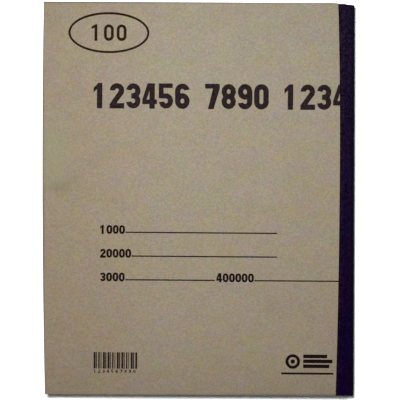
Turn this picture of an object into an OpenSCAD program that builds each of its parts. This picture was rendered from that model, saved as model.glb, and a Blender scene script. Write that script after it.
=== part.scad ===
// Composition notebook bound on the right: one folded and sewn section of leaves
// between two card covers, joined at the spine by a strip of binding cloth.
// Millimetres. The book lies on its back cover. X runs from the fore-edge to the
// spine, Y from the foot to the head, and Z up through the thickness. The origin
// is the middle of the back cover's outer face.

/* [Book] */
// Overall width, from the fore-edge to the outside of the spine
book_w = 197; // [180:1:230]
// Overall height, from foot to head
book_h = 248; // [225:1:300]
// Radius of the four trimmed corners
corner_r = 0.6; // [0.4:0.2:4]

/* [Pages] */
// Number of leaves, two to each folded sheet
leaf_count = 100; // [80:4:140]
// Thickness of one leaf, with the air between the leaves
leaf_t = 0.08; // [0.07:0.005:0.1]
// How far in from the outermost fold the leaves begin to turn down into it
fold_reach = 11; // [10:0.5:13]
// Shape of the fold: 2 is an ellipse, and a smaller number is more pointed
fold_power = 1.6; // [1.3:0.1:1.9]
// Number of groups that the folded sheets part into at the trimmed edges
gather_count = 5; // [3:1:6]
// Width of the parting between two groups of sheets
parting_w = 0.12; // [0.08:0.02:0.2]
// Depth of the parting, in from the trimmed edge
parting_d = 0.4; // [0.2:0.1:0.8]

/* [Covers] */
// Thickness of the cover card
board_t = 0.7; // [0.5:0.1:1.2]
// Air between a closed cover and the leaves
cover_air = 0.1; // [0.06:0.02:0.3]
// Hinge line of each cover, in from the outside of the spine
hinge_inset = 7; // [6:0.5:8]

/* [Binding cloth] */
// Thickness of the cloth
cloth_t = 0.2; // [0.15:0.05:0.3]
// Width of cloth that shows on the front at the head, from the outside of the spine
cloth_head_w = 11.2; // [9:0.1:16]
// Width of cloth that shows on the front where it is narrowest
cloth_waist_w = 9.9; // [9:0.1:16]
// Where the cloth is narrowest, down from the head
cloth_waist_y = 86; // [60:1:120]
// Width of cloth that shows on the front at the foot
cloth_foot_w = 12.2; // [9:0.1:18]
// Width of cloth that shows on the back
cloth_back_w = 11.5; // [9:0.1:18]
// Distance over which the cloth slopes from a crease onto the leaves
cloth_slope = 2; // [1:0.1:2.5]

/* [Sewing] */
// Diameter of the sewing thread
thread_d = 0.6; // [0.4:0.1:0.8]
// Length of one stitch
stitch_pitch = 7; // [5:0.5:10]
// Least distance from the end stitches to the head and foot
stitch_margin = 9; // [6:1:20]
// Clearance round the thread in its holes
thread_fit = 0.05; // [0.03:0.01:0.08]

/* [Print] */
// Thickness of the ink on the front cover
ink_t = 0.05; // [0.04:0.01:0.1]
// How far the print is turned on the cover, clockwise, in degrees
print_turn = 0.4; // [-1:0.1:1]
// Width of the oval near the head
oval_w = 51; // [40:0.5:60]
// Height of the oval
oval_h = 25.8; // [20:0.2:30]
// Width of the oval's line
oval_line = 1.4; // [0.8:0.1:2]
// Centre of the oval, in from the fore-edge
oval_x = 40.8; // [34:0.2:60]
// Centre of the oval, down from the head
oval_y = 19.6; // [16:0.2:30]
// Height of the digits in the oval
oval_digit_h = 10.4; // [7:0.2:12]
// Width of one digit in the oval
oval_digit_w = 6.2; // [4:0.1:7]
// Step from one digit in the oval to the next
oval_pitch = 8; // [7.5:0.1:9]
// Width of the strokes of the digits in the oval
oval_stroke = 1.8; // [1:0.1:2]
// Height of the title's digits
title_h = 16; // [12:0.2:20]
// Width of one title digit
title_digit_w = 9.2; // [8.4:0.1:9.4]
// Step from one title digit to the next
title_pitch = 10.3; // [9.6:0.1:11]
// Width of the strokes of the title's digits
title_stroke = 3.4; // [1.5:0.1:3.4]
// Space that parts two groups of title digits, past one step
title_space = 8.6; // [5:0.2:10]
// Left end of the title, in from the fore-edge
title_x = 31.2; // [20:0.2:40]
// Foot of the title, down from the head
title_y = 67.2; // [60:0.2:80]
// Height of the digits of the labels
label_h = 5.8; // [5:0.2:8]
// Width of one label digit
label_digit_w = 3.7; // [3.2:0.1:3.8]
// Step from one label digit to the next
label_pitch = 4; // [4:0.1:5]
// Width of the strokes of the labels' digits
label_stroke = 1.4; // [0.6:0.1:1.4]
// How far the labels stand below the writing lines
label_drop = 0.8; // [0:0.1:2]
// Left end of the labels, in from the fore-edge
label_x = 36; // [20:0.2:45]
// Left end of the label in the middle of the last line
second_label_x = 109.6; // [90:0.2:120]
// First writing line, down from the head
first_line_y = 145.6; // [130:0.2:160]
// Step from one writing line to the next
line_pitch = 15; // [10:0.1:20]
// Right end of the two upper writing lines, in from the fore-edge
line_end_x = 147.8; // [130:0.2:160]
// Thickness of the writing lines
line_w = 0.8; // [0.4:0.1:1.2]
// Number of upright bars near the foot
bar_count = 19; // [11:1:25]
// Width of the field of bars
bars_w = 27.8; // [20:0.2:34]
// Height of the bars
bars_h = 10.4; // [6:0.2:14]
// Left end of the bars, in from the fore-edge
bars_x = 32.4; // [20:0.2:40]
// Foot of the bars, up from the foot of the cover
bars_y = 16.4; // [8:0.2:24]
// Height of the small digits under the bars
bars_digit_h = 2.2; // [1.6:0.1:2.4]
// Width of the mark in the lower corner
imprint_w = 33; // [20:1:40]
// Middle of the mark, in from the outside of the spine
imprint_x = 29.4; // [28:0.2:50]
// Foot of the mark's lowest line, up from the foot of the cover
imprint_y = 13.6; // [8:0.2:24]
// Diameter of the ring in the mark
ring_d = 9.2; // [6:0.2:10]

/* [Hidden] */
$fn = 48;

fore_x = -book_w / 2;
spine_x = book_w / 2;
head_y = book_h / 2;
foot_y = -book_h / 2;

block_t = leaf_count * leaf_t;
half_t = block_t / 2;
mid_z = board_t + cover_air + half_t;
book_t = 2 * mid_z;

// Fold of the section: it begins at fold_x and ends at fold_tip_x, against the cloth.
fold_tip_x = spine_x - cloth_t;
fold_x = fold_tip_x - fold_reach;
inner_tip_x = fold_tip_x - half_t;
fold_steps = 24;

// Creases: each cover turns about the middle of its own thickness, where the card ends
// and the cloth is rolled over its edge. The cloth of the spine starts under that roll.
hinge_x = spine_x - hinge_inset;
roll_r = board_t / 2;
cloth_edge_steps = 24;

// Sewing: the holes are at equal steps, centred on the book's height.
stitch_count = floor((book_h - 2 * stitch_margin) / stitch_pitch);
stitch_span = stitch_count * stitch_pitch;
thread_r = thread_d / 2;
link_r = 0.8 * thread_r;
outer_run_x = fold_tip_x - thread_r - thread_fit / 2;
inner_run_x = inner_tip_x - thread_r;
thread_sides = 8;

// How far a cutting shape runs past the face that it cuts.
past = 1;

// A point on the fold at share q of the half thickness: 0 is the middle of the section
// and 1 its outermost leaf. All sheets keep their spacing round the fold.
function fold_point(q, angle) = [
    fold_x + (fold_reach - half_t * (1 - q)) * pow(cos(angle), 2 / fold_power),
    half_t * q * sign(angle) * pow(abs(sin(angle)), 2 / fold_power)
];

// The angle at which the fold at share q reaches x.
function fold_angle_at(q, x) =
    acos(pow((x - fold_x) / (fold_reach - half_t * (1 - q)), fold_power / 2));

// Points on the fold at share q, between -limit and limit, ends included.
function fold_curve(q, limit) = [
    for (a = concat(
        [-limit],
        [for (k = [1:fold_steps - 1]) let (a = 180 * k / fold_steps - 90) if (abs(a) < limit - 1) a],
        [limit]
    )) fold_point(q, a)
];

function reversed(points) = [for (k = [len(points) - 1:-1:0]) points[k]];

// The share that lies a distance outside another.
function share_past(q, distance) = q + distance / half_t;

// Outline in X and Z of the sheets inside share q, from start_x to the fold.
function section_outline(q, start_x) = concat(
    [[start_x, -half_t * q]], fold_curve(q, 90), [[start_x, half_t * q]]
);

// Width of the cloth on the front at a distance down from the head.
function cloth_front_w(y) = cloth_waist_w + (y < cloth_waist_y
    ? (cloth_head_w - cloth_waist_w) * pow(1 - y / cloth_waist_y, 2)
    : (cloth_foot_w - cloth_waist_w) * pow((y - cloth_waist_y) / (book_h - cloth_waist_y), 2));

// The plan of the trimmed book, with its rounded corners.
module plan_outline() {
    square([book_w - 2 * corner_r, book_h], center = true);
    square([book_w, book_h - 2 * corner_r], center = true);
    for (sx = [-1, 1], sy = [-1, 1])
        translate([sx * (book_w / 2 - corner_r), sy * (book_h / 2 - corner_r)])
            circle(r = corner_r);
}

// Cuts its children to the plan of the trimmed book.
module trimmed() {
    intersection() {
        children();
        linear_extrude(book_t) plan_outline();
    }
}

// Stands a profile drawn in X and Z about the middle plane, with its length along Y.
module along_spine(length) {
    translate([0, 0, mid_z])
        rotate([90, 0, 0])
            linear_extrude(length, center = true) children();
}

// The thin layer that parts two groups of sheets, round the fold from edge to edge.
module parting_profile(q) {
    difference() {
        polygon(section_outline(share_past(q, parting_w / 2), fore_x - past));
        if (q > 0)
            polygon(section_outline(share_past(q, -parting_w / 2), fore_x - 2 * past));
    }
}

// The partings, open at the fore-edge, the head and the foot.
module partings() {
    difference() {
        for (k = [0:gather_count - 1])
            along_spine(book_h + 2 * past) parting_profile(k / gather_count);
        translate([fore_x + parting_d, foot_y + parting_d, 0])
            cube([book_w, book_h - 2 * parting_d, book_t]);
    }
}

// The sewing: a run of thread outside the fold, one inside it, and a link at each hole.
module stitches(extra) {
    run = stitch_span + 2 * (thread_r + extra);
    for (x = [outer_run_x, inner_run_x])
        translate([x, 0, mid_z])
            rotate([90, 0, 0])
                cylinder(h = run, r = thread_r + extra, center = true, $fn = thread_sides);
    for (k = [0:stitch_count])
        translate([inner_run_x, k * stitch_pitch - stitch_span / 2, mid_z])
            rotate([0, 90, 0])
                cylinder(h = outer_run_x - inner_run_x, r = link_r + extra, $fn = thread_sides);
}

module page_block() {
    color("ivory")
        difference() {
            trimmed() along_spine(book_h) polygon(section_outline(1, fore_x));
            partings();
            stitches(thread_fit);
        }
}

module sewing_thread() {
    color("white") stitches(0);
}

// The cloth round the fold: it slopes down from each crease and then follows the leaves.
module spine_cloth() {
    q_out = share_past(1, cloth_t);
    slope_end_x = hinge_x + cloth_slope;
    color("midnightblue")
        trimmed()
            along_spine(book_h)
                polygon(concat(
                    [[hinge_x, -half_t]],
                    fold_curve(q_out, fold_angle_at(q_out, slope_end_x)),
                    [[hinge_x, half_t], [hinge_x, half_t - cloth_t]],
                    reversed(fold_curve(1, fold_angle_at(1, slope_end_x))),
                    [[hinge_x, cloth_t - half_t]]
                ));
}

// The plan of a cloth strip whose inner edge follows the given widths, up to right_x.
module cloth_plan(widths, right_x) {
    steps = len(widths) - 1;
    polygon(concat(
        [for (k = [0:steps]) [spine_x - widths[k], head_y - book_h * k / steps]],
        [[right_x, foot_y], [right_x, head_y]]
    ));
}

function front_widths() = [for (k = [0:cloth_edge_steps]) cloth_front_w(book_h * k / cloth_edge_steps)];

function back_widths() = [cloth_back_w, cloth_back_w];

// A cover with its outer face at Z 0. The cloth is pressed into the card, flush with it.
module board(widths) {
    difference() {
        intersection() {
            linear_extrude(board_t) plan_outline();
            translate([fore_x, foot_y, 0])
                cube([hinge_x - fore_x, book_h, board_t]);
        }
        translate([0, 0, -past])
            linear_extrude(past + cloth_t) cloth_plan(widths, spine_x);
    }
}

// The cloth on a cover: a strip on its outer face, rolled round over its spine edge.
module cloth_strip(widths) {
    linear_extrude(cloth_t) cloth_plan(widths, hinge_x);
    intersection() {
        translate([hinge_x, 0, roll_r])
            rotate([90, 0, 0])
                cylinder(h = book_h, r = roll_r, center = true);
        translate([hinge_x, foot_y, 0])
            cube([board_t, book_h, board_t]);
    }
}

// Turns a cover over, outer face up, onto the top of the book.
module on_top() {
    translate([0, 0, book_t]) mirror([0, 0, 1]) children();
}

module front_cover() {
    color("tan") on_top() board(front_widths());
}

module front_cloth_strip() {
    color("midnightblue") on_top() cloth_strip(front_widths());
}

module back_cover() {
    color("tan") board(back_widths());
}

module back_cloth_strip() {
    color("midnightblue") cloth_strip(back_widths());
}

module oval(w, h) {
    steps = 72;
    polygon([for (k = [0:steps - 1]) [w / 2 * cos(360 * k / steps), h / 2 * sin(360 * k / steps)]]);
}

// Points along an arc of an ellipse, ends included.
function arc(x, y, rx, ry, from, to, steps) = [
    for (k = [0:steps])
        let (a = from + (to - from) * k / steps)
            [x + rx * cos(a), y + ry * sin(a)]
];

function without_first(points) = [for (k = [1:len(points) - 1]) points[k]];

function ellipse(x, y, rx, ry, steps) = without_first(arc(x, y, rx, ry, 0, 360, 2 * steps));

// Points round an upright oblong with round ends, w wide and h high, from a corner point.
function oblong(x, y, w, h, steps) =
    let (r = min(w, 0.96 * h) / 2)
        concat(
            arc(x + w / 2, y + h - r, w / 2, r, 0, 180, steps),
            arc(x + w / 2, y + r, w / 2, r, 180, 360, steps)
        );

module digit_nought(w, h, s, steps) {
    difference() {
        polygon(oblong(0, 0, w, h, steps));
        polygon(oblong(s, s, w - 2 * s, h - 2 * s, steps));
    }
}

module digit_one(w, h, s) {
    right = 0.62 * w;
    polygon([
        [right, 0], [right, h], [right - 0.75 * s, h], [0.02 * w, h - 0.9 * s],
        [0.02 * w, h - 1.75 * s], [right - s, h - 1.15 * s], [right - s, 0]
    ]);
}

module digit_two(w, h, s, steps) {
    r = min(w, 0.66 * h) / 2;
    y = h - r;
    polygon(concat(
        arc(w / 2, y, w / 2, r, 180, -25, steps),
        [[1.3 * s, s], [w, s], [w, 0], [0, 0], [0, 0.8 * s]],
        arc(w / 2, y, w / 2 - s, r - s, -25, 180, steps)
    ));
}

// The upper and lower bowls of a three or an eight overlap by one stroke.
module digit_three(w, h, s, steps) {
    r = (h + s) / 4;
    waist = asin((h - s) / (h + s));
    polygon(concat(
        arc(w / 2, h - r, w / 2, r, 170, -waist, steps),
        without_first(arc(w / 2, r, w / 2, r, waist, -170, steps)),
        arc(w / 2, r, w / 2 - s, r - s, -170, 90, steps),
        [[0.36 * w, 2 * r - s], [0.36 * w, h - 2 * r + s]],
        arc(w / 2, h - r, w / 2 - s, r - s, -90, 170, steps)
    ));
}

module digit_four(w, h, s) {
    stem_x = w - 1.4 * s;
    bar_y = 0.18 * h;
    top_y = bar_y + 0.85 * s;
    rise = (h - top_y) / (stem_x - 0.35 * s);
    difference() {
        polygon([
            [stem_x, 0], [stem_x + s, 0], [stem_x + s, bar_y], [w, bar_y], [w, top_y],
            [stem_x + s, top_y], [stem_x + s, h], [stem_x - 0.35 * s, h], [0, top_y],
            [0, bar_y], [stem_x, bar_y]
        ]);
        polygon([
            [stem_x, top_y], [stem_x, top_y + rise * (stem_x - 0.8 * s)], [0.8 * s, top_y]
        ]);
    }
}

module digit_five(w, h, s, steps) {
    r = 0.31 * h;
    polygon(concat(
        [[0, h], [0.95 * w, h], [0.95 * w, h - 0.85 * s], [0.9 * s, h - 0.85 * s]],
        arc(w / 2, r, w / 2, r, acos(1.8 * s / w - 1), -170, steps),
        arc(w / 2, r, w / 2 - s, r - s, -170, 90, steps),
        [[0, 2 * r - s]]
    ));
}

module digit_six(w, h, s, steps) {
    r = 0.31 * h;
    end_r = min(w, 0.96 * h) / 2;
    y = h - end_r;
    difference() {
        polygon(concat(
            arc(w / 2, y, w / 2, end_r, 10, 180, steps),
            arc(w / 2, r, w / 2, r, 180, 360 + acos(2 * s / w - 1), 2 * steps),
            arc(w / 2, y, w / 2 - s, end_r - s, 180, 10, steps)
        ));
        polygon(ellipse(w / 2, r, w / 2 - s, r - s, steps));
    }
}

module digit_seven(w, h, s) {
    bar_y = h - 0.9 * s;
    polygon([
        [0, bar_y], [w - 1.25 * s, bar_y], [0.2 * w, 0], [0.2 * w + 1.05 * s, 0], [w, bar_y],
        [w, h], [0, h]
    ]);
}

module digit_eight(w, h, s, steps) {
    r = (h + s) / 4;
    waist = asin((h - s) / (h + s));
    difference() {
        polygon(concat(
            without_first(arc(w / 2, h - r, w / 2, r, -waist, 180 + waist, steps)),
            without_first(arc(w / 2, r, w / 2, r, 180 - waist, 360 + waist, steps))
        ));
        for (y = [r, h - r])
            polygon(ellipse(w / 2, y, w / 2 - s, r - s, steps));
    }
}

// One digit from 0 to 9, w wide and h high, with strokes s wide.
module digit(n, w, h, s, steps) {
    if (n == 0) digit_nought(w, h, s, steps);
    if (n == 1) digit_one(w, h, s);
    if (n == 2) digit_two(w, h, s, steps);
    if (n == 3) digit_three(w, h, s, steps);
    if (n == 4) digit_four(w, h, s);
    if (n == 5) digit_five(w, h, s, steps);
    if (n == 6) digit_six(w, h, s, steps);
    if (n == 7) digit_seven(w, h, s);
    if (n == 8) digit_eight(w, h, s, steps);
    if (n == 9)
        translate([w, h])
            rotate(180)
                digit_six(w, h, s, steps);
}

module number(digits, w, h, s, pitch, steps) {
    for (k = [0:len(digits) - 1])
        translate([k * pitch, 0])
            digit(digits[k], w, h, s, steps);
}

// The oval, with a plain round number inside it.
module oval_print() {
    digits = [1, 0, 0];
    run_w = (len(digits) - 1) * oval_pitch + oval_digit_w;
    translate([fore_x + oval_x, head_y - oval_y]) {
        difference() {
            oval(oval_w, oval_h);
            oval(oval_w - 2 * oval_line, oval_h - 2 * oval_line);
        }
        translate([-run_w / 2, -oval_digit_h / 2])
            number(digits, oval_digit_w, oval_digit_h, oval_stroke, oval_pitch, 8);
    }
}

// Running digits in three groups, where a title would stand.
module title_print() {
    groups = [[1, 2, 3, 4, 5, 6], [7, 8, 9, 0], [1, 2, 3, 4]];
    starts = [0, 6, 10];
    for (g = [0:len(groups) - 1])
        translate([fore_x + title_x + starts[g] * title_pitch + g * title_space, head_y - title_y])
            number(groups[g], title_digit_w, title_h, title_stroke, title_pitch, 8);
}

// One writing line from x to end_x, with the digits of its label standing at its start.
module labelled_line(digits, x, end_x, row) {
    label_w = len(digits) * label_pitch;
    translate([fore_x + x, head_y - first_line_y - row * line_pitch]) {
        translate([0, -label_drop])
            number(digits, label_digit_w, label_h, label_stroke, label_pitch, 4);
        translate([label_w, 0])
            square([end_x - x - label_w, line_w]);
    }
}

module form_print() {
    labelled_line([1, 0, 0, 0], label_x, line_end_x, 0);
    labelled_line([2, 0, 0, 0, 0], label_x, line_end_x, 1);
    labelled_line([3, 0, 0, 0], label_x, second_label_x - label_pitch / 4, 2);
    labelled_line([4, 0, 0, 0, 0, 0], second_label_x, book_w, 2);
}

// Upright bars whose widths run through a short repeating order, with small digits under them.
module bars_print() {
    shares = [0.8, 0.4, 0.6, 0.34, 0.84, 0.48];
    pitch = bars_w / bar_count;
    digits = [1, 2, 3, 4, 5, 6, 7, 8, 9, 0];
    digit_pitch = bars_w / len(digits);
    translate([fore_x + bars_x, foot_y + bars_y]) {
        for (k = [0:bar_count - 1])
            translate([k * pitch, 0])
                square([pitch * shares[k % len(shares)], bars_h]);
        translate([0, -1.25 * bars_digit_h])
            number(digits, 0.7 * bars_digit_h, bars_digit_h, 0.22 * bars_digit_h, digit_pitch, 3);
    }
}

// A plain mark in the lower corner: a ring with a dot, three bars beside it, and a line below.
module imprint_print() {
    line_h = 1.2;
    left_x = -imprint_w / 2;
    bars = [0.5, 0.56, 0.46];
    translate([spine_x - imprint_x, foot_y + imprint_y]) {
        translate([left_x, 0])
            square([imprint_w, line_h]);
        translate([left_x + 0.08 * imprint_w + ring_d / 2, 3 * line_h + ring_d / 2]) {
            difference() {
                circle(d = ring_d);
                circle(d = 0.6 * ring_d);
            }
            circle(d = 0.3 * ring_d);
        }
        for (k = [0:len(bars) - 1])
            translate([left_x + 0.14 * imprint_w + ring_d, 3 * line_h + (0.06 + 0.34 * k) * ring_d])
                square([bars[k] * imprint_w, 0.24 * ring_d]);
    }
}

// The ink on the front cover. It runs on under the cloth, so it shows only on bare card.
module cover_print() {
    color("black")
        translate([0, 0, book_t])
            linear_extrude(ink_t)
                intersection() {
                    rotate(-print_turn) {
                        oval_print();
                        title_print();
                        form_print();
                        bars_print();
                        imprint_print();
                    }
                    difference() {
                        plan_outline();
                        cloth_plan(front_widths(), spine_x + past);
                    }
                }
}

page_block();
sewing_thread();
spine_cloth();
front_cover();
front_cloth_strip();
cover_print();
back_cover();
back_cloth_strip();
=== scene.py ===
import math
import random

import bpy
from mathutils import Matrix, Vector


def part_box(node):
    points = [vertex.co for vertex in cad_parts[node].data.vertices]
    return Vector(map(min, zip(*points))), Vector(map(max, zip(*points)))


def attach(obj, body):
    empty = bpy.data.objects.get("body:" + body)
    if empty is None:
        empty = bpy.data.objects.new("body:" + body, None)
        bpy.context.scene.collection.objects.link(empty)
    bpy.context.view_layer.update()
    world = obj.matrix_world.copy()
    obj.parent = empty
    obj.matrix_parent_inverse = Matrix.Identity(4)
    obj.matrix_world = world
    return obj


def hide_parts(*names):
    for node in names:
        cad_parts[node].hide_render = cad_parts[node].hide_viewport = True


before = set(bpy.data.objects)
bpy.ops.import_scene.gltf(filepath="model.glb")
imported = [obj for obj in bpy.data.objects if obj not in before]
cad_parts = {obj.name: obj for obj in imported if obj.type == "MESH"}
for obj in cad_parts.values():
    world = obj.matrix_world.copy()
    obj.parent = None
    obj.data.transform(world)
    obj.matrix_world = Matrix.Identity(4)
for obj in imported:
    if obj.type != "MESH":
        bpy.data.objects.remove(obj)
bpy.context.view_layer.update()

mm = 0.001
blockLow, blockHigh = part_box("page_block")
coverLow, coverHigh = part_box("front_cover")
backLow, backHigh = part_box("back_cover")
spineLow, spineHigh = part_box("spine_cloth")
hingeX = coverHigh.x  # the card ends on its hinge line
boardT = backHigh.z - backLow.z
midZ = (blockLow.z + blockHigh.z) / 2
halfT = (blockHigh.z - blockLow.z) / 2
topZ = coverHigh.z
foreX, spineX = coverLow.x, spineHigh.x
footY, headY = blockLow.y, blockHigh.y
bookH = headY - footY

# Materials count in mm
foreAt, hingeAt, spineAt = foreX / mm, hingeX / mm, spineX / mm
footAt, headAt, tall = footY / mm, headY / mm, bookH / mm

# How near to a place a point is picked as being there
hair = 0.001 * mm  # past rounding
touch = 0.1 * mm  # on one edge or row
edgeZone = 2 * mm  # along an edge that was cut, rounded or moved
rowZone = 3 * mm

cornerCuts = [15, 45, 75]  # the angles, in degrees, that round off a corner

# The fold of the section, as the solids have it
fold = {
    "reach": 11 * mm,
    "power": 1.6,
    "steps": 32,
    "corners": (0.9 * mm, 0.4 * mm),  # at the spine: head, foot
}
foldX = blockHigh.x - fold["reach"]


# Modelling helpers

def deselectAll():
    for obj in bpy.context.selected_objects:
        obj.select_set(False)
    bpy.context.view_layer.objects.active = None


def pick(*objs):
    deselectAll()
    for obj in objs:
        obj.select_set(True)
    bpy.context.view_layer.objects.active = objs[0]


# Goes into edit mode with the whole mesh selected, or with none of it
def enterEdit(obj, action="SELECT"):
    pick(obj)
    bpy.ops.object.mode_set(mode="EDIT")
    bpy.ops.mesh.select_all(action=action)


def leaveEdit():
    bpy.ops.object.mode_set(mode="OBJECT")


# Goes into edit mode with the points selected whose place passes the test
def selectPoints(obj, test):
    enterEdit(obj, "DESELECT")
    leaveEdit()
    for point in obj.data.vertices:
        point.select = test(point.co)
    bpy.ops.object.mode_set(mode="EDIT")
    bpy.ops.mesh.select_mode(type="VERT")


def selectEdges(obj, test):
    enterEdit(obj, "DESELECT")
    leaveEdit()
    points = obj.data.vertices
    for edge in obj.data.edges:
        edge.select = test(points[edge.vertices[0]].co, points[edge.vertices[1]].co)
    bpy.ops.object.mode_set(mode="EDIT")
    bpy.ops.mesh.select_mode(type="EDGE")


def movePoints(obj, test, x=0, y=0):
    selectPoints(obj, test)
    bpy.ops.transform.translate(value=(x, y, 0))
    leaveEdit()


# Scales the mesh from a place, or only the points that pass the test
def stretch(obj, scale, place, test=lambda co: True):
    selectPoints(obj, test)
    bpy.ops.transform.resize(value=scale, center_override=place)
    leaveEdit()


# Cuts the mesh at a plane, and may clear what lies beyond it
def cut(obj, place, normal, clear=False):
    enterEdit(obj)
    bpy.ops.mesh.bisect(plane_co=place, plane_no=normal, clear_outer=clear)
    leaveEdit()


# Extrudes the selected edge along a path of (x, z), and leaves edit mode
def extrudeAlong(path):
    for start, end in zip(path, path[1:]):
        bpy.ops.mesh.extrude_region_move(
            TRANSFORM_OT_translate={"value": (end[0] - start[0], 0, end[1] - start[1])})
    leaveEdit()


def freeze(obj):
    pick(obj)
    bpy.ops.object.transform_apply(location=True, rotation=True, scale=True)


def applyModifier(obj, kind, **values):
    pick(obj)
    modifier = obj.modifiers.new(kind.lower(), kind)
    for key, value in values.items():
        setattr(modifier, key, value)
    bpy.ops.object.modifier_apply(modifier=modifier.name)


# A flat rectangle in X and Y at height z, cut into columns and rows
def addSheet(name, low, high, z, columns=1, rows=1):
    deselectAll()
    bpy.ops.mesh.primitive_grid_add(x_subdivisions=columns, y_subdivisions=rows, size=1,
                                    location=((low[0] + high[0]) / 2, (low[1] + high[1]) / 2, z))
    obj = bpy.context.object
    obj.name = name
    obj.scale = (high[0] - low[0], high[1] - low[1], 1)
    freeze(obj)
    return obj


# Rounds off plan corners of an open sheet with a fan of cuts: each corner is (x, y, radius)
def roundCorners(obj, corners):
    for x, y, radius in corners:
        signX, signY = math.copysign(1, x), math.copysign(1, y)
        middle = (x - signX * radius, y - signY * radius)
        reach = radius / math.cos(math.radians(cornerCuts[0]))
        for angle in cornerCuts:
            turn = math.radians(angle)
            normal = (signX * math.cos(turn), signY * math.sin(turn), 0)
            place = (middle[0] + normal[0] * reach, middle[1] + normal[1] * reach, 0)
            cut(obj, place, normal, clear=True)


def outwardFaces(obj):
    enterEdit(obj)
    bpy.ops.mesh.remove_doubles(threshold=hair / 2)
    bpy.ops.mesh.normals_make_consistent(inside=False)
    leaveEdit()


def smoothSides(obj, angle=30):
    pick(obj)
    bpy.ops.object.shade_smooth_by_angle(angle=math.radians(angle))


# Keeps a measure of each point for the materials
def markPoints(obj, name, measure):
    mark = obj.data.attributes.new(name, "FLOAT", "POINT")
    mark.data.foreach_set("value", [measure(v.co) for v in obj.data.vertices])


def stand(obj, body, slot, material, *nodes):
    obj.data.materials.clear()
    obj.data.materials.append(material)
    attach(obj, body)
    if nodes:
        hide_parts(*nodes)


# The book was trimmed a little askew, and its fore-edge stands out in a slight bow
askew = {
    # From each x on, the head is shorter by this much more
    "headSteps": [(84 * mm, 0), (87 * mm, 0.2 * mm), (88.2 * mm, 0.55 * mm)],
    "clothShort": 0.65 * mm,  # how much shorter the cloth is at the head
    "foreUp": 0.45 * mm,  # head and foot slope: up at the fore-edge, down near the spine
    "spineDown": 0.38 * mm,
    "footFrom": 91 * mm,  # the foot turns down from here on
    "footTurn": 9.5,  # degrees
    "bowOut": 0.59 * mm,  # how far the fore-edge stands out at bowY
    "bow": 1.14 * mm,  # how far it has come in half the book's height away
    "bowY": 6 * mm,
    "bowCuts": 8,
}


def bowForeEdge(obj):
    rows = [footY + bookH * k / askew["bowCuts"] for k in range(askew["bowCuts"] + 1)]
    for y in rows[1:-1]:
        cut(obj, (0, y, 0), (0, 1, 0))
    for y in rows:
        share = (y - askew["bowY"]) / (bookH / 2)
        movePoints(obj, lambda co: co.x < foreX + edgeZone and abs(co.y - y) < rowZone,
                   x=askew["bow"] * share ** 2 - askew["bowOut"])


def trimAskew(obj, headSteps):
    for x, _ in headSteps:
        cut(obj, (x, 0, 0), (1, 0, 0))
    movePoints(obj, lambda co: co.x < foreX + edgeZone, y=askew["foreUp"])
    movePoints(obj, lambda co: co.x > askew["headSteps"][0][0] - hair, y=-askew["spineDown"])
    for x, drop in headSteps:
        movePoints(obj, lambda co: co.x > x - hair and co.y > headY - edgeZone, y=-drop)
    selectPoints(obj, lambda co: co.x > askew["footFrom"] and co.y < footY + edgeZone)
    bpy.ops.transform.rotate(value=math.radians(askew["footTurn"]), orient_axis="Z",
                             center_override=(askew["footFrom"], footY, midZ))
    leaveEdit()


# Materials

class Signal:
    def __init__(self, tree, socket):
        self.tree = tree
        self.socket = socket

    def math(self, operation, *values):
        return addMath(self.tree, operation, self, *values)

    def __add__(self, other):
        return self.math("ADD", other)

    def __sub__(self, other):
        return self.math("SUBTRACT", other)

    def __rsub__(self, other):
        return addMath(self.tree, "SUBTRACT", other, self)

    def __mul__(self, other):
        return self.math("MULTIPLY", other)

    def __truediv__(self, other):
        return self.math("DIVIDE", other)

    def __rtruediv__(self, other):
        return addMath(self.tree, "DIVIDE", other, self)

    __radd__ = __add__
    __rmul__ = __mul__


def feed(tree, socket, value):
    if isinstance(value, Signal):
        tree.links.new(value.socket, socket)
    else:
        socket.default_value = value


def addMath(tree, operation, *values):
    node = tree.nodes.new("ShaderNodeMath")
    node.operation = operation
    for socket, value in zip(node.inputs, values):
        feed(tree, socket, value)
    return Signal(tree, node.outputs[0])


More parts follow.
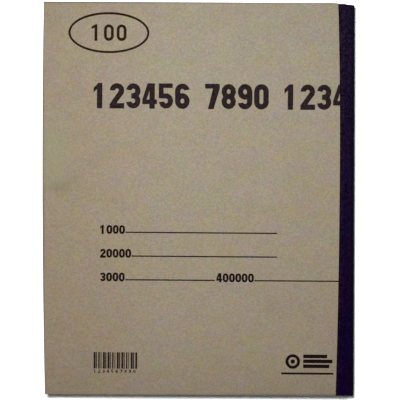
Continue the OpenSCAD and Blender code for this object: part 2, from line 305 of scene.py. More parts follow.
class Finish:
    def __init__(self, name):
        self.material = bpy.data.materials.new(name)
        self.material.use_nodes = True
        self.tree = self.material.node_tree
        self.tree.nodes.clear()
        self.out = self.tree.nodes.new("ShaderNodeOutputMaterial")

    # Adds a node: its settings first, then the values or links of its sockets
    def node(self, kind, output=0, settings=None, **sockets):
        node = self.tree.nodes.new("ShaderNode" + kind)
        for key, value in (settings or {}).items():
            setattr(node, key, value)
        for key, value in sockets.items():
            feed(self.tree, node.inputs[key.replace("_", " ")], value)
        return Signal(self.tree, node.outputs[output])

    # Where the surface is, in mm
    def point(self):
        return self.vector("SCALE", self.node("TexCoord", "Object"), Scale=1 / mm)

    # 1 where the surface lies flat, 0 where it stands upright
    def level(self):
        return self.axis(self.node("TexCoord", "Normal"), "Z").math("ABSOLUTE")

    # A measure that markPoints or the leaves kept on the mesh
    def kept(self, name):
        return self.node("Attribute", "Fac", {"attribute_name": name})

    def vector(self, operation, a, b=None, **sockets):
        node = self.tree.nodes.new("ShaderNodeVectorMath")
        node.operation = operation
        feed(self.tree, node.inputs[0], a)
        if b is not None:
            feed(self.tree, node.inputs[1], b)
        for key, value in sockets.items():
            feed(self.tree, node.inputs[key], value)
        return Signal(self.tree, node.outputs[1 if operation == "LENGTH" else 0])

    def axis(self, vector, name):
        return self.node("SeparateXYZ", name, Vector=vector)

    def noise(self, place, size, detail=2.0, roughness=0.5):
        return self.node("TexNoise", 0, Vector=place, Scale=1 / size,
                         Detail=detail, Roughness=roughness)

    # Noise drawn out along the axes where the scale is below 1
    def noiseAlong(self, place, scale, size, detail=2.0):
        return self.noise(self.vector("MULTIPLY", place, scale), size, detail)

    # 0 below low, 1 above high, smooth between them
    def step(self, value, low, high):
        return self.node("MapRange", 0, {"interpolation_type": "SMOOTHSTEP"},
                         Value=value, From_Min=low, From_Max=high)

    def mix(self, factor, a, b, mode="MIX"):
        node = self.tree.nodes.new("ShaderNodeMix")
        node.data_type = "RGBA"
        node.blend_type = mode
        feed(self.tree, node.inputs[0], factor)
        for socket, value in ((node.inputs[6], a), (node.inputs[7], b)):
            feed(self.tree, socket, value if isinstance(value, Signal) else (*value, 1))
        return Signal(self.tree, node.outputs[2])

    # Multiplies a colour by a mix of two tints
    def tint(self, color, factor, a, b):
        return self.mix(1.0, color, self.mix(factor, a, b), "MULTIPLY")

    # Scales a colour by a number
    def shade(self, color, amount):
        grey = self.node("CombineXYZ", 0, X=amount, Y=amount, Z=amount)
        return self.mix(1.0, color, grey, "MULTIPLY")

    def blend(self, factor, a, b):
        node = self.tree.nodes.new("ShaderNodeMixShader")
        for socket, value in zip(node.inputs, (factor, a, b)):
            feed(self.tree, socket, value)
        return Signal(self.tree, node.outputs[0])

    def bump(self, height, depth, strength=1.0):
        return self.node("Bump", 0, Height=height, Distance=depth, Strength=strength)

    def surface(self, **sockets):
        shader = self.node("BsdfPrincipled", 0, **sockets)
        self.tree.links.new(shader.socket, self.out.inputs["Surface"])
        return self.material


# Multiplies by the first of a pair, and adds the second
def scaled(value, pair):
    times, plus = pair
    return value * times + plus


# Sizes are in mm. A Tone pair is for scaled; an Edge or Fade pair is for step, low and high.
card = {
    "base": (0.352, 0.306, 0.226),
    "greenish": (0.89, 1.102, 0.885),
    "pinkish": (1.11, 0.898, 1.115),
    "yellowish": (1.047, 1.034, 0.69),
    "greyish": (0.953, 0.966, 1.31),
    "brownAndShade": (1.0, 0.895, 0.825),
    "cut": (0.24, 0.2, 0.145),
    "speck": (0.11, 0.085, 0.06),
    "dirt": (0.19, 0.15, 0.13),
    "soil": (0.13, 0.08, 0.0),
    "olive": (0.3, 0.335, 0.175),
    "patch": 6.5,
    "patchOther": 5.2,
    "otherAt": (211, 97, 31),
    "smudge": 12,
    "smudgeAt": (57, 301, 11),
    "smudgeTint": 0.6,
    "cloud": 45,
    # how much browning and painted shade falls at the foot and at the fore-edge
    "footBrownAndShade": 0.57,
    "foreBrownAndShade": 0.45,
    "brownCloud": 0.5,
    "foreFade": (20, 85),  # from the fore-edge
    "grain": 1.0,
    "fibre": 0.22,
    "fibreTurns": (25, -50, 80),  # degrees
    "fibreDrawn": 0.14,
    "fibreThin": 0.018,
    "fibreGap": 1.3,
    "fibreEdge": (0.52, 0.6),
    "tone": 0.415,
    "toneGrain": 1.1,
    "toneFibre": 0.05,
    "toneSmudge": 0.14,
    "foreShade": 0.018,
    "specks": 0.42,  # per mm
    "speckEdge": (0.03, 0.07),
    "chanceEdge": (0.72, 0.74),
    "speckDepth": 0.45,
    "bandFade": (0.1, 1.25),
    "bandWander": 2.2,
    "bandUneven": 0.9,
    "bandDepth": 0.8,
    "soilWander": 6,
    "soilUneven": 1.2,
    "soilFade": (0.25, 1.3),
    "sideEdge": (0.3, 0.8),
    "plies": (0.15, 0.15, 9),
    "plyTone": (0.5, 0.75),
    "pits": 0.18,
    "grainHeight": 0.6,
    "fibreHeight": 0.5,
    "pitHeight": 0.3,
    "relief": 0.05 * mm,
    "bump": 0.6,
    "roughTone": (0.12, 0.78),
    "specular": 0.2,
}

# Soiled places on the front cover: middle x and y, half width, half height in mm, depth and tint
soiled = [
    (-94, 28, 18, 26, 0.32, "olive"),
    (-89, 6.5, 9, 4.5, 0.22, "soil"),
    (-80, 12.5, 6, 4, 0.12, "soil"),
    (-94, 116, 12, 9, 0.07, "soil"),
    (31, -5, 5, 8, 0.05, "soil"),
    (60, -74, 30, 18, 0.025, "soil"),
    (77, -77, 14, 8, 0.03, "soil"),
    (46, -70, 6, 7, 0.03, "soil"),
]


def cardFinish(name, places):
    finish = Finish(name)
    place = finish.point()
    x, y = finish.axis(place, "X"), finish.axis(place, "Y")
    # Recycled pulp: faint patches of two tints, which don't follow each other
    greener = finish.noise(place, card["patch"], detail=3, roughness=0.6)
    smudge = finish.noise(finish.vector("ADD", place, card["smudgeAt"]), card["smudge"])
    other = finish.noise(finish.vector("ADD", place, card["otherAt"]), card["patchOther"],
                         detail=4, roughness=0.65)
    other = other + (smudge - 0.5) * card["smudgeTint"]
    color = finish.tint(card["base"], greener, card["greenish"], card["pinkish"])
    color = finish.tint(color, other, card["yellowish"], card["greyish"])
    # The card is darker and browner towards the foot and the fore-edge: partly browning of the card,
    # partly painted shade for the light falling off there
    cloud = finish.noise(place, card["cloud"])
    towardsFoot = (headAt - y) / tall
    fadeFrom, fadeTo = card["foreFade"]
    towardsFore = 1 - finish.step(x, foreAt + fadeFrom, foreAt + fadeTo)
    brownAndShade = (towardsFoot * card["footBrownAndShade"] + towardsFore * card["foreBrownAndShade"]
               + (cloud - 0.5) * card["brownCloud"])
    color = finish.tint(color, brownAndShade, (1, 1, 1), card["brownAndShade"])
    grain = finish.noise(place, card["grain"], detail=4, roughness=0.7)
    # Fibres lie in all directions: three fields of thin streaks, each drawn out its own way
    fibres = 0
    for turn in card["fibreTurns"]:
        laid = finish.node("Mapping", 0, Vector=place, Rotation=(0, 0, math.radians(turn)),
                           Scale=(card["fibreDrawn"], 1, 1))
        ridge = finish.noise(laid, card["fibre"], detail=1)
        thin = 1 - finish.step((ridge - 0.5).math("ABSOLUTE"), 0, card["fibreThin"])
        gate = finish.step(finish.noise(laid, card["fibreGap"], detail=1), *card["fibreEdge"])
        fibres = thin * gate + fibres
    smears = finish.noise(place, card["smudge"], detail=3) - 0.5
    # Grain, fibres and smears set the tone; its drop towards the fore-edge is painted shade
    color = finish.shade(color, card["tone"] + grain * card["toneGrain"] + fibres * card["toneFibre"]
                         + smears * card["toneSmudge"] - towardsFore * card["foreShade"])
    # Specks of bark and old print in the pulp
    away = finish.node("TexVoronoi", "Distance", Vector=place, Scale=card["specks"])
    cell = finish.node("TexVoronoi", "Color", Vector=place, Scale=card["specks"])
    chosen = finish.step(finish.axis(cell, "X"), *card["chanceEdge"])
    speck = (1 - finish.step(away, *card["speckEdge"])) * chosen
    color = finish.mix(speck * card["speckDepth"], color, card["speck"])
    # Handled edges are darker, in a thin uneven band
    fromEdge = (x - foreAt).math("MINIMUM", headAt - y.math("ABSOLUTE"))
    fromEdge = fromEdge + (finish.noise(place, card["bandWander"]) - 0.5) * card["bandUneven"]
    band = 1 - finish.step(fromEdge, *card["bandFade"])
    color = finish.mix(band * card["bandDepth"], color, card["dirt"])
    for middleX, middleY, halfW, halfH, depth, tint in places:
        aside, along = (x - middleX) / halfW, (y - middleY) / halfH
        wander = (finish.noise(place, card["soilWander"], detail=3) - 0.5) * card["soilUneven"]
        off = (aside * aside + along * along).math("SQRT") + wander
        color = finish.mix((1 - finish.step(off, *card["soilFade"])) * depth, color, card[tint])
    # The cut edge shows the plies of the board
    side = 1 - finish.step(finish.level(), *card["sideEdge"])
    plies = scaled(finish.noiseAlong(place, card["plies"], 1), card["plyTone"])
    color = finish.mix(side, color, finish.shade(card["cut"], plies))
    height = (grain * card["grainHeight"] + fibres * card["fibreHeight"]
              + finish.noise(place, card["pits"], detail=1) * card["pitHeight"])
    return finish.surface(
        Base_Color=color, Roughness=scaled(grain, card["roughTone"]),
        Specular_IOR_Level=card["specular"],
        Normal=finish.bump(height, card["relief"], card["bump"]))


cloth = {
    "navy": (0.0048, 0.0005, 0.0262),
    "purple": (0.0088, 0.0005, 0.0227),
    "innerEdgeShade": (0.0105, 0.0035, 0.0085),
    "headTint": (0.0195, 0.0105, 0.0255),
    "lint": (0.056, 0.056, 0.058),
    "nap": (0.035, 0.028, 0.045),
    "pitch": 0.38,  # between threads
    "crossing": 0.45,
    "slub": 0.7,
    "weaveTone": 0.4,
    "slubTone": 0.3,
    "threadTone": 0.62,
    "patch": 7,
    "spot": 2.1,
    "spotTone": (0.9, 0.55),
    "patchShare": 0.65,
    "patchEdge": (0.42, 0.58),
    "fleck": 1.3,
    "fleckEdge": (0.22, 0.78),
    "fleckTone": (2.4, -0.2),
    "lintTone": (1.6, -0.3),
    "riseTone": (0.6, 0.5),
    "headTintDepth": 0.32,
    "lintFoot": 0.012,
    "lintHead": 0.142,
    # the painted shadow line along the cloth's inner edge
    "innerShadeWidth": 2,
    "innerShadeEdge": (-0.05, 0.35),
    "innerShadeDepth": 0.85,
    "noseFade": (3.2, 0.8),  # from the outermost of the spine
    # painted shade on the nose of the spine
    "noseShade": 0.62,
    "scuff": 1.6,
    "scuffEdge": (0.6, 0.74),
    "scuffDepth": 0.25,
    "slubHeight": 0.5,
    "relief": 0.06 * mm,
    "bump": 0.8,
    "roughTone": (-0.1, 0.72),
    "specular": 0.015,
}


def clothFinish():
    finish = Finish("binding_cloth_weave")
    place = finish.point()
    y = finish.axis(place, "Y")
    across, along = finish.kept("across") / cloth["pitch"], y / cloth["pitch"]
    warp = (across.math("FRACT") * math.pi).math("SINE")
    weft = (along.math("FRACT") * math.pi).math("SINE")
    turn = ((across.math("FLOOR") + along.math("FLOOR")) / 2).math("FRACT") * 2
    crossing = (cloth["crossing"], 1 - cloth["crossing"])
    over, under = warp * scaled(weft, crossing), weft * scaled(warp, crossing)
    weave = over * turn + under * (1 - turn)
    slub = finish.noiseAlong(place, (1, 0.08, 1), cloth["slub"])
    # Dyed unevenly, in long stripes that run with the strip and in small spots
    stripes = finish.noiseAlong(place, (1, 0.3, 1), cloth["patch"], detail=3)
    spots = finish.noiseAlong(place, (1, 0.6, 1), cloth["spot"], detail=3)
    patch = finish.step(stripes * cloth["patchShare"] + spots * (1 - cloth["patchShare"]),
                        *cloth["patchEdge"])
    color = finish.mix(patch, cloth["navy"], cloth["purple"])
    # Lighter and greyer towards the head
    risen = (y - footAt) / tall
    towardsHead = risen * scaled(risen, cloth["riseTone"])
    color = finish.mix(towardsHead * cloth["headTintDepth"], color, cloth["headTint"])
    # Its inner edge is darkened with a painted shadow line
    innerEdgeShade = finish.step(finish.kept("innerEdgeShade"), *cloth["innerShadeEdge"])
    color = finish.mix(innerEdgeShade * cloth["innerShadeDepth"], color, cloth["innerEdgeShade"])
    fleck = finish.step(finish.noise(place, cloth["fleck"], detail=3, roughness=0.65),
                        *cloth["fleckEdge"])
    threads = weave * cloth["weaveTone"] + slub * cloth["slubTone"] + cloth["threadTone"]
    color = finish.shade(color, threads * scaled(fleck, cloth["fleckTone"])
                         * scaled(spots, cloth["spotTone"]))
    linty = towardsHead * cloth["lintHead"] + cloth["lintFoot"]
    color = finish.mix(scaled(fleck, cloth["lintTone"]) * linty, color, cloth["lint"])
    # The nose of the spine is darkened with painted shade, where it turns away from the light, and
    # its nap has worn pale in spots
    noseFrom, noseTo = cloth["noseFade"]
    nose = finish.step(finish.axis(place, "X"), spineAt - noseFrom, spineAt - noseTo)
    color = finish.shade(color, 1 - nose * cloth["noseShade"])
    scuff = finish.step(finish.noise(place, cloth["scuff"], detail=4, roughness=0.7),
                        *cloth["scuffEdge"])
    color = finish.mix(scuff * nose * cloth["scuffDepth"], color, cloth["nap"])
    height = slub * cloth["slubHeight"] + weave
    return finish.surface(
        Base_Color=color, Roughness=scaled(weave, cloth["roughTone"]),
        Specular_IOR_Level=cloth["specular"],
        Normal=finish.bump(height, cloth["relief"], cloth["bump"]))


paper = {
    "color": (0.83, 0.815, 0.75),
    "edge": (0.82, 0.79, 0.71),
    "rule": (0.42, 0.53, 0.72),
    "margin": (0.72, 0.33, 0.36),
    "rulePitch": 8.0,
    "ruleFade": (0.012, 0.024),  # of the pitch
    "ruleDepth": 0.75,
    "firstRule": 26.0,  # from the head
    "lastRule": 12.0,  # from the foot
    "ruledEdge": (-0.5, -0.4),
    "lastEdge": (0, 0.1),
    "marginX": 30.0,  # from the hinge
    "marginFade": (0.12, 0.22),
    "marginDepth": 0.7,
    "flatEdge": (0.9, 0.97),
    "grain": 0.5,
    "grainTone": (0.05, 0.97),
    "leafTone": (0.5, 0.72),
    "relief": 0.02 * mm,
    "bump": 0.5,
    "rough": 0.82,
    "specular": 0.25,
}


def paperFinish():
    finish = Finish("leaf_paper_ruled")
    place = finish.point()
    x, y = finish.axis(place, "X"), finish.axis(place, "Y")
    flat = finish.step(finish.level(), *paper["flatEdge"])
    fromHead = headAt - paper["firstRule"] - y
    offRule = ((fromHead / paper["rulePitch"] + 0.5).math("FRACT") - 0.5).math("ABSOLUTE")
    line = 1 - finish.step(offRule, *paper["ruleFade"])
    pastLast = fromHead - (tall - paper["firstRule"] - paper["lastRule"])
    ruled = (finish.step(fromHead, *paper["ruledEdge"])
             * (1 - finish.step(pastLast, *paper["lastEdge"])))
    offMargin = (x - (hingeAt - paper["marginX"])).math("ABSOLUTE")
    margin = 1 - finish.step(offMargin, *paper["marginFade"])
    color = finish.mix(line * ruled * flat * paper["ruleDepth"], paper["color"], paper["rule"])
    color = finish.mix(margin * flat * paper["marginDepth"], color, paper["margin"])
    grain = finish.noise(place, paper["grain"], detail=3, roughness=0.6)
    color = finish.shade(color, scaled(grain, paper["grainTone"]))
    # Cut edges are duller, and each leaf has its own tone there
    edge = finish.shade(paper["edge"], scaled(finish.kept("leafTone"), paper["leafTone"]))
    color = finish.mix(1 - flat, color, edge)
    return finish.surface(
        Base_Color=color, Roughness=paper["rough"], Specular_IOR_Level=paper["specular"],
        Normal=finish.bump(grain, paper["relief"], paper["bump"]))


# It was laid on more and less heavily over the cover
ink = {
    "oval": (0.0215, 0.0125, 0.0065),
    "title": (0.0225, 0.015, 0.0135),
    "labels": (0.012, 0.006, 0.004),
    "bars": (0.021, 0.0095, 0.0115),
    "imprint": (0.008, 0.0045, 0.004),
    "thin": (0.055, 0.039, 0.034),
    "warm": (1.02, 0.9, 0.68),
    "cool": (0.93, 0.98, 1.6),
    "imprintFade": (-20, 20),  # in x
    "zones": (("labels", -88, -75), ("title", 0, 40), ("oval", 76, 86)),  # each fades in along y
    "picked": 0.35,
    "pickedEdge": (0.6, 0.78),
    "pickedDepth": 0.5,
    "wide": 5,
    "wideTone": (0.12, -0.03),
    "cast": 3,
    "castEdge": (0.38, 0.62),
    "mottle": 1.6,
    "mottleTone": (3, -0.5),
    "pits": 0.3,
    "relief": 0.02 * mm,
    "bump": 0.5,
    "rough": 0.7,
    "specular": 0.015,
}


def inkFinish():
    finish = Finish("cover_ink")
    place = finish.point()
    x, y = finish.axis(place, "X"), finish.axis(place, "Y")
    color = finish.mix(finish.step(x, *ink["imprintFade"]), ink["bars"], ink["imprint"])
    for name, low, high in ink["zones"]:
        color = finish.mix(finish.step(y, low, high), color, ink[name])
    # Paper shows through where it was picked off or laid thinly
    picked = finish.step(finish.noise(place, ink["picked"], detail=3, roughness=0.7),
                         *ink["pickedEdge"])
    wide = scaled(finish.noise(place, ink["wide"]), ink["wideTone"])
    color = finish.mix(picked * ink["pickedDepth"] + wide, color, ink["thin"])
    # Its black is brown in places and blue in others
    cooler = finish.step(finish.noise(place, ink["cast"]), *ink["castEdge"])
    color = finish.tint(color, cooler, ink["warm"], ink["cool"])
    mottle = finish.noise(place, ink["mottle"], detail=3, roughness=0.6)
    color = finish.shade(color, scaled(mottle, ink["mottleTone"]))
    return finish.surface(
        Base_Color=color, Roughness=ink["rough"], Specular_IOR_Level=ink["specular"],
        Normal=finish.bump(finish.noise(place, ink["pits"]), ink["relief"], ink["bump"]))


thread = {
    "color": (0.82, 0.8, 0.73),
    "twistY": 9,  # radians per mm
    "twistZ": 14,
    "twistTone": (0.25, 0.75),
    "relief": 0.05 * mm,
    "rough": 0.8,
}


def threadFinish():
    finish = Finish("sewing_thread_twist")
    place = finish.point()
    lay = finish.axis(place, "Y") * thread["twistY"] + finish.axis(place, "Z") * thread["twistZ"]
    twist = (lay.math("SINE") + 1) * 0.5
    color = finish.shade(thread["color"], scaled(twist, thread["twistTone"]))
    return finish.surface(Base_Color=color, Roughness=thread["rough"],
                          Normal=finish.bump(twist, thread["relief"]))


# Leaves: one folded sheet is drawn, copied for every share of the stack, and given its thickness
leaves = {
    "count": 50,  # folded sheets
    "paper": 0.07 * mm,
    "trim": 0.05 * mm,  # how unevenly they are cut
    "corners": (0.6 * mm, 0.3 * mm),  # at the fore-edge: head, foot
    "leastGap": 0.3,
    "wideGap": 9,
    "wideShare": 0.13,
    "seed": 7,
}


# A point on the fold of the sheet that lies at this share of the half thickness
def foldPoint(share, angle):
    reach = fold["reach"] - halfT * (1 - share)
    bend = 2 / fold["power"]
    return (foldX + reach * math.cos(angle) ** bend,
            midZ + halfT * share * math.copysign(abs(math.sin(angle)) ** bend, angle))


def drawSheet():
    # The lower leg is a rectangle; its edge at the fold is extruded round the fold and back
    obj = addSheet("sheet", (foreX, footY), (foldX, headY), midZ - halfT)
    selectPoints(obj, lambda co: co.x > foldX - touch)
    steps = fold["steps"]
    bend = [foldPoint(1, math.pi * (k / steps - 0.5)) for k in range(1, steps + 1)]
    extrudeAlong([(foldX, midZ - halfT), *bend, (foreX, midZ + halfT)])
    return obj


def buildLeaves():
    dice = random.Random(leaves["seed"])
    # Most sheets lie close, and a few stand off from the next
    gaps = [leaves["leastGap"] + dice.random()
            + (leaves["wideGap"] * dice.random() if dice.random() < leaves["wideShare"] else 0)
            for _ in range(leaves["count"])]
    spare = (halfT - leaves["count"] * leaves["paper"]) / sum(gaps)
    master = drawSheet()
    sheets, height = [], 0
    for gap in gaps:
        height += gap * spare + leaves["paper"]
        share = (height - leaves["paper"] / 2) / halfT
        copy = master.copy()
        copy.data = master.data.copy()
        bpy.context.collection.objects.link(copy)
        stretch(copy, (1, 1, share), (0, 0, midZ))
        narrower = (fold["reach"] - halfT * (1 - share)) / fold["reach"]
        stretch(copy, (narrower, 1, 1), (foldX, 0, midZ), lambda co: co.x > foldX + hair)
        # Each sheet is trimmed a hair differently
        movePoints(copy, lambda co: co.x < foreX + touch, x=dice.random() * leaves["trim"])
        shorter = 1 - dice.random() * 2 * leaves["trim"] / bookH
        stretch(copy, (1, shorter, 1), (0, 0, midZ))
        tone = copy.data.attributes.new("leafTone", "FLOAT", "FACE")
        tone.data.foreach_set("value", [dice.random()] * len(copy.data.polygons))
        sheets.append(copy)
    bpy.data.objects.remove(master)
    pick(*sheets)
    bpy.ops.object.join()
    stack = bpy.context.object
    stack.name = "leaf_stack"
    roundCorners(stack, [(foreX, headY, leaves["corners"][0]), (foreX, footY, leaves["corners"][1]),
                         (blockHigh.x, headY, fold["corners"][0]),
                         (blockHigh.x, footY, fold["corners"][1])])
    bowForeEdge(stack)
    trimAskew(stack, askew["headSteps"])
    applyModifier(stack, "SOLIDIFY", thickness=leaves["paper"], offset=0)
    outwardFaces(stack)
    smoothSides(stack)
    print("leaves", len(stack.data.polygons))
    return stack


boards = {
    "softened": 0.1 * mm,  # the bevel of the cut edges
    "frontCorners": (0.5 * mm, 0.3 * mm),  # head, foot
    "backCorners": (0.6 * mm, 0.4 * mm),
}


def buildBoard(name, low, high, corners):
    board = addSheet(name, low, high, low.z)
    roundCorners(board, [(foreX, headY, corners[0]), (foreX, footY, corners[1])])
    bowForeEdge(board)
    trimAskew(board, askew["headSteps"])
    applyModifier(board, "SOLIDIFY", thickness=high.z - low.z, offset=1)
    outwardFaces(board)
    selectEdges(board, lambda a, b: abs(a.z - b.z) < hair)
    bpy.ops.mesh.bevel(offset=boards["softened"], segments=3, affect="EDGES")
    leaveEdit()
    smoothSides(board, angle=50)
    print("board", name, len(board.data.polygons))
    return board


# Binding cloth: the widths are what shows of it, measured from the outside of the spine
strip = {
    "head": 11.2 * mm,
    "waist": 9.9 * mm,
    "foot": 12.2 * mm,
    "waistDown": 86 * mm,  # how far below the head its askew inner edge is nearest to the spine
    "back": 11.5 * mm,
    "thickness": 0.2 * mm,
    "proud": 0.12 * mm,  # how far it stands above the front card
    "proudBack": 0.03 * mm,
    "rollEnd": 0.01 * mm,  # what is left of that where it has rolled over the card's edge
    "rollSteps": 10,
    "room": 0.06 * mm,  # round the fold it lies this far in, so that the covers open over it
    "gap": 0.05 * mm,  # between the hinge line and the cloth round the fold
    "slope": 2 * mm,
    "slopeEase": ((0, 0), (0.25, 0.12), (0.5, 0.36), (0.75, 0.66)),  # along it, and up it
    "foldSteps": 40,
    "rows": 62,
}


def frontWidth(y):
    down = headY - y
    if down < strip["waistDown"]:
        share = 1 - down / strip["waistDown"]
        return strip["waist"] + (strip["head"] - strip["waist"]) * share ** 2
    share = (down - strip["waistDown"]) / (bookH - strip["waistDown"])
    return strip["waist"] + (strip["foot"] - strip["waist"]) * share ** 2


# A strip on a cover's outer face, with its spine edge rolled over the card's edge
def buildCoverStrip(name, faceZ, proud, width, inward):
    outerZ = faceZ - inward * proud
    rollZ = faceZ + inward * boardT / 2
    rows, steps = strip["rows"], strip["rollSteps"]
    obj = addSheet(name, (spineX - strip["waist"], footY), (hingeX, headY), outerZ, 1, rows)
    for row in range(rows + 1):
        y = footY + bookH * row / rows
        movePoints(obj, lambda co: co.x < hingeX - mm and abs(co.y - y) < touch,
                   x=strip["waist"] - width(y))
    selectPoints(obj, lambda co: co.x > hingeX - touch)
    topR, endR = boardT / 2 + proud, boardT / 2 + strip["rollEnd"]
    roll = [(hingeX, outerZ)]
    for k in range(1, steps + 1):
        angle = math.pi * k / steps
        radius = topR + (endR - topR) * k / steps
        roll.append((hingeX + radius * math.sin(angle), rollZ - inward * radius * math.cos(angle)))
    extrudeAlong(roll)

    def acrossCloth(co):
        if co.x <= hingeX:
            return co.x / mm
        angle = math.atan2(co.x - hingeX, -inward * (co.z - rollZ))
        return (hingeX + boardT / 2 * angle) / mm

    # 1 at the cloth's inner edge, falling off across it: where the painted shadow line lies
    def innerShadeShare(co):
        return 1 - (co.x - spineX + width(co.y)) / (cloth["innerShadeWidth"] * mm)

    markPoints(obj, "across", acrossCloth)
    markPoints(obj, "innerEdgeShade", innerShadeShare)
    trimAskew(obj, [(0, askew["clothShort"])])
    return obj


# Turns an open sheet's faces away from the leaves before it gets its thickness
def facesAway(obj, inward):
    enterEdit(obj)
    bpy.ops.mesh.normals_make_consistent(inside=False)
    leaveEdit()
    largest = max(obj.data.polygons, key=lambda face: face.area)
    if largest.normal.z * inward > 0:
        enterEdit(obj)
        bpy.ops.mesh.flip_normals()
        leaveEdit()


def finishCloth(obj, offset):
    applyModifier(obj, "SOLIDIFY", thickness=strip["thickness"], offset=offset)
    outwardFaces(obj)
    smoothSides(obj, angle=40)
    print("cloth", obj.name, len(obj.data.polygons))
    return obj


# The cloth round the fold, from under one roll to under the other
def spineProfile():
    outer = 1 + strip["thickness"] / halfT
    startX, startZ = hingeX + strip["gap"], spineLow.z + strip["room"]
    steps = strip["foldSteps"]
    bend = [foldPoint(outer, math.pi * (k / steps - 0.5)) for k in range(steps + 1)]
    bend = [point for point in bend if point[0] > hingeX + strip["slope"]]
    slopeLow = [(startX + (bend[0][0] - startX) * along, startZ + (bend[0][1] - startZ) * up)
                for along, up in strip["slopeEase"]]
    slopeHigh = [(x, 2 * midZ - z) for x, z in reversed(slopeLow)]
    return slopeLow + bend + slopeHigh


def buildSpineCloth():
    path = spineProfile()
    (x, z), (nextX, nextZ) = path[:2]
    obj = addSheet("spine_wrap", (x, footY), (nextX, headY), z, 1, strip["rows"])
    selectPoints(obj, lambda co: co.x > x + hair)
    bpy.ops.transform.translate(value=(0, 0, nextZ - z))
    extrudeAlong(path[1:])
    # Distance round the section, for the weave
    lengths, total = {}, 0
    for before, point in zip([path[0], *path], path):
        total += math.dist(before, point)
        lengths[(round(point[0] / mm, 3), round(point[1] / mm, 3))] = total / mm
    markPoints(obj, "across", lambda co: lengths.get((round(co.x / mm, 3), round(co.z / mm, 3)), 0))
    roundCorners(obj, [(spineX, headY, fold["corners"][0]), (spineX, footY, fold["corners"][1])])
    trimAskew(obj, [(0, askew["clothShort"])])
    return obj


cardMaterials = {
    "front": cardFinish("cover_card_front", soiled),
    "back": cardFinish("cover_card_back", []),
}
clothMaterial = clothFinish()

stand(buildLeaves(), "book_block", "leaf_paper", paperFinish(), "page_block")
print("stage: leaves done")

frontBoard = buildBoard("front_board", coverLow, coverHigh, boards["frontCorners"])
stand(frontBoard, "front_cover", "cover_card", cardMaterials["front"], "front_cover")
backBoard = buildBoard("back_board", backLow, backHigh, boards["backCorners"])
stand(backBoard, "back_cover", "cover_card", cardMaterials["back"], "back_cover")
print("stage: boards done")

frontStrip = buildCoverStrip("front_strip", topZ, strip["proud"], frontWidth, -1)
facesAway(frontStrip, -1)
finishCloth(frontStrip, offset=-1)
stand(frontStrip, "front_cover", "binding_cloth", clothMaterial, "front_cloth_strip")
backStrip = buildCoverStrip("back_strip", backLow.z, strip["proudBack"], lambda y: strip["back"], 1)
facesAway(backStrip, 1)
finishCloth(backStrip, offset=-1)
stand(backStrip, "back_cover", "binding_cloth", clothMaterial, "back_cloth_strip")
spineWrap = finishCloth(buildSpineCloth(), offset=1)
stand(spineWrap, "book_block", "binding_cloth", clothMaterial, "spine_cloth")
print("stage: cloth done")

for nodeName, nodeMaterial in (("cover_print", inkFinish()), ("sewing_thread", threadFinish())):
    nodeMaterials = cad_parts[nodeName].data.materials
    nodeMaterials.clear()
    nodeMaterials.append(nodeMaterial)
print("stage: print and thread done")

# Floor, light and camera
stage = {
    "floorSize": 6.0,
    "floorDrop": 0.05 * mm,
    "floorBounce": 0.5,
    "floorSeen": 1.75,  # the camera sees the floor this much lighter, so that only its shadow is grey
    "lampReach": 0.46,  # metres: the floor is seen lighter still where the lamps' light falls off
    "floorFade": (0.66, 1.1),  # metres from the book: the floor turns into plain white
    "fill": 0.022,
}


# 1 for rays that show the scene to the camera, straight or by a reflection
def seenDirectly(tree):
    paths = tree.nodes.new("ShaderNodeLightPath")
    camera, glossy, through = (Signal(tree, paths.outputs[name]) for name in (
        "Is Camera Ray", "Is Glossy Ray", "Is Transmission Ray"))
    return camera.math("MAXIMUM", glossy).math("MAXIMUM", through)


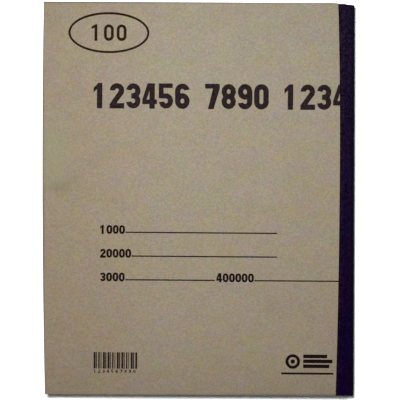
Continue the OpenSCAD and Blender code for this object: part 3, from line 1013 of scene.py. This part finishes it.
def addFloor():
    deselectAll()
    bpy.ops.mesh.primitive_plane_add(size=stage["floorSize"], location=(0, 0, -stage["floorDrop"]))
    floor = bpy.context.object
    floor.name = "floor"
    finish = Finish("floor_white")
    seen = seenDirectly(finish.tree)
    far = finish.vector("LENGTH", finish.node("TexCoord", "Object"))
    falloff = (far * far / stage["lampReach"] ** 2 + 1).math("POWER", 2)
    level = falloff * stage["floorSeen"]
    plain = finish.node("BsdfDiffuse", 0, Color=(*[stage["floorBounce"]] * 3, 1))
    bright = finish.node("BsdfPrincipled", 0, Roughness=1.0, Specular_IOR_Level=0.0,
                         Base_Color=finish.node("CombineXYZ", 0, X=level, Y=level, Z=level))
    glow = finish.node("Emission", 0, Color=(1, 1, 1, 1))
    shown = finish.blend(finish.step(far, *stage["floorFade"]), bright, glow)
    finish.tree.links.new(finish.blend(seen, plain, shown).socket, finish.out.inputs["Surface"])
    floor.data.materials.append(finish.material)


def addWorld():
    world = bpy.data.worlds.new("studio")
    bpy.context.scene.world = world
    world.use_nodes = True
    tree = world.node_tree
    tree.nodes.clear()
    seen = seenDirectly(tree)
    back = tree.nodes.new("ShaderNodeBackground")
    back.inputs["Color"].default_value = (1, 1, 1, 1)
    feed(tree, back.inputs["Strength"], seen * (1 - stage["fill"]) + stage["fill"])
    out = tree.nodes.new("ShaderNodeOutputWorld")
    tree.links.new(back.outputs[0], out.inputs["Surface"])


lamps = {
    "key": {"place": (-0.075, 0.112, 0.46), "aim": (0.14, -0.01, 0), "size": 0.12, "watts": 2.3},
    "side": {"place": (0.23, 0.06, 0.46), "aim": (0, 0, 0), "size": 0.16, "watts": 0.08},
}


def addLamps():
    for name, lamp in lamps.items():
        deselectAll()
        bpy.ops.object.light_add(type="AREA", location=lamp["place"])
        light = bpy.context.object
        light.name = name
        light.data.size = lamp["size"]
        light.data.energy = lamp["watts"]
        towards = Vector(lamp["aim"]) - Vector(lamp["place"])
        light.rotation_euler = towards.to_track_quat("-Z", "Y").to_euler()


view = {
    "above": 500 * mm,
    "towardsHead": 6.5 * mm,
    "acrossFrame": 252.35 * mm,  # what the frame takes in at the cover's height
    "aim": (0.4 * mm, -0.48 * mm),
    "roll": 0.03,  # degrees
    "sensor": 36,
}


def addCamera():
    deselectAll()
    bpy.ops.object.camera_add()
    camera = bpy.context.object
    camera.name = "camera"
    camera.data.sensor_width = view["sensor"]
    camera.data.lens = view["sensor"] * view["above"] / view["acrossFrame"]
    aimX, aimY = view["aim"]
    camera.location = (aimX, aimY + view["towardsHead"], topZ + view["above"])
    tilt = math.atan2(view["towardsHead"], view["above"])
    camera.rotation_euler = (-tilt, 0, math.radians(view["roll"]))
    camera.data.clip_start = 10 * mm
    bpy.context.scene.camera = camera


addFloor()
addWorld()
addLamps()
addCamera()
bpy.context.scene.view_settings.view_transform = "Standard"
print("stage: floor, light and camera done")
